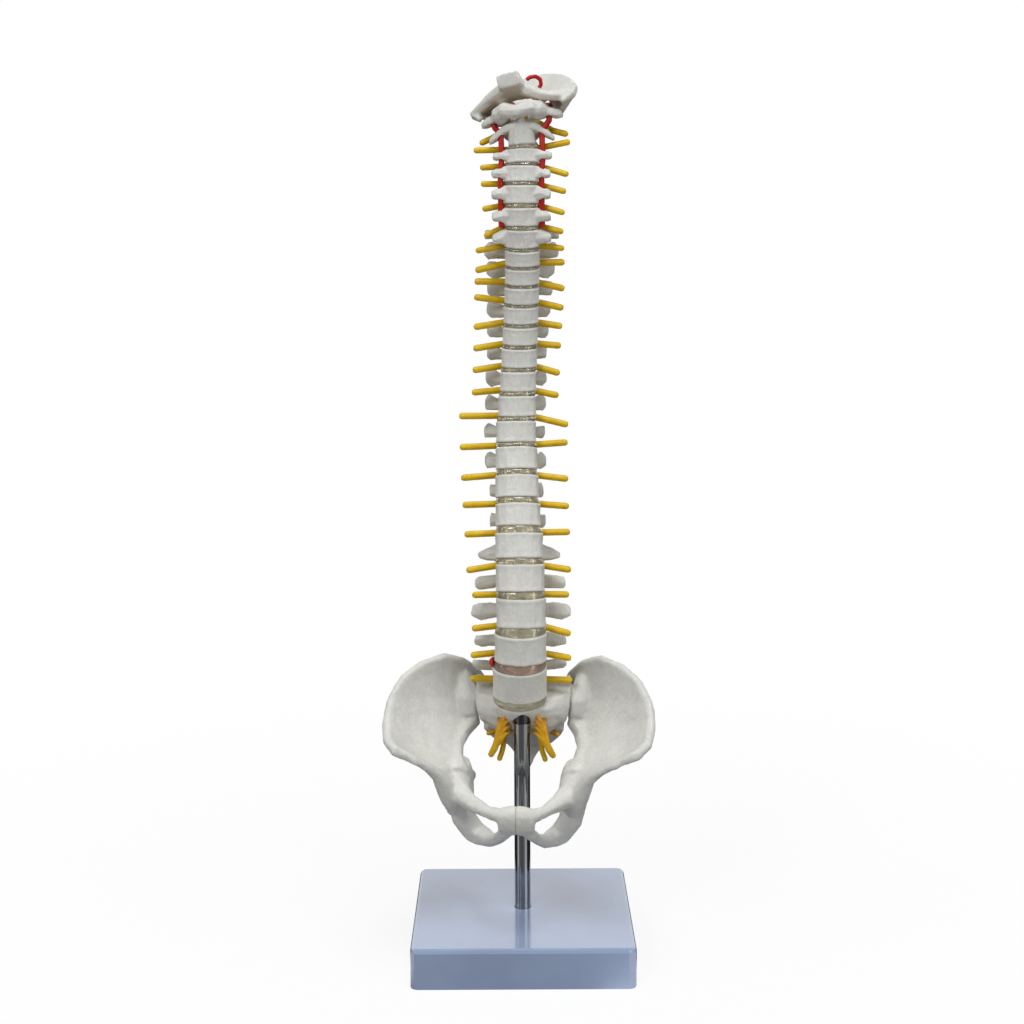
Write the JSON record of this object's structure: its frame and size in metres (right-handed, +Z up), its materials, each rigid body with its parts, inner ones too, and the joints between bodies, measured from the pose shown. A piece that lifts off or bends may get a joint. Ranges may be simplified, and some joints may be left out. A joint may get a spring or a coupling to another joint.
{
  "type": "spine anatomy model",
  "caption": "Flexible model of the human vertebral column with pelvis, nerves and neck arteries, on a chromed pole in a square base.",
  "frame": {"origin": "on the table, under the middle of the base and the pole's axis", "axes": "+Z up along the pole, -Y towards the model's front, +X to the viewer's right when the front is seen"},
  "size_m": [0.1373, 0.113, 0.4506],
  "materials": {
    "bone_plastic": "fine grained off-white",
    "disc_plastic": "clear smoky amber",
    "nerve_yellow": "soft yellow",
    "artery_red": "glossy red",
    "pole_chrome": "polished",
    "rod_steel": "plain",
    "base_plastic": "satin pale blue-grey"
  },
  "bodies": {
    "root": {"L5": "bone_plastic", "L4": "bone_plastic", "L3": "bone_plastic", "L2": "bone_plastic", "L1": "bone_plastic", "T12": "bone_plastic", "T11": "bone_plastic", "T10": "bone_plastic", "T9": "bone_plastic", "T8": "bone_plastic", "T7": "bone_plastic", "T6": "bone_plastic", "T5": "bone_plastic", "T4": "bone_plastic", "T3": "bone_plastic", "T2": "bone_plastic", "T1": "bone_plastic", "C7": "bone_plastic", "C6": "bone_plastic", "C5": "bone_plastic", "C4": "bone_plastic", "C3": "bone_plastic", "C2": "bone_plastic", "C1": "bone_plastic", "disc_L5_S1": "disc_plastic", "disc_L4_L5": "disc_plastic", "disc_L3_L4": "disc_plastic", "disc_L2_L3": "disc_plastic", "disc_L1_L2": "disc_plastic", "disc_T12_L1": "disc_plastic", "disc_T11_T12": "disc_plastic", "disc_T10_T11": "disc_plastic", "disc_T9_T10": "disc_plastic", "disc_T8_T9": "disc_plastic", "disc_T7_T8": "disc_plastic", "disc_T6_T7": "disc_plastic", "disc_T5_T6": "disc_plastic", "disc_T4_T5": "disc_plastic", "disc_T3_T4": "disc_plastic", "disc_T2_T3": "disc_plastic", "disc_T1_T2": "disc_plastic", "disc_C7_T1": "disc_plastic", "disc_C6_C7": "disc_plastic", "disc_C5_C6": "disc_plastic", "disc_C4_C5": "disc_plastic", "disc_C3_C4": "disc_plastic", "disc_C2_C3": "disc_plastic", "occiput": "bone_plastic", "sacrum": "bone_plastic", "hip_left": "bone_plastic", "hip_right": "bone_plastic", "base": "base_plastic", "pole": "pole_chrome", "pole_nut": "rod_steel", "core_rod": "rod_steel", "spinal_cord_and_nerves": "nerve_yellow", "vertebral_artery_left": "artery_red", "vertebral_artery_right": "artery_red", "disc_herniation": "artery_red"}
  },
  "joints": []
}
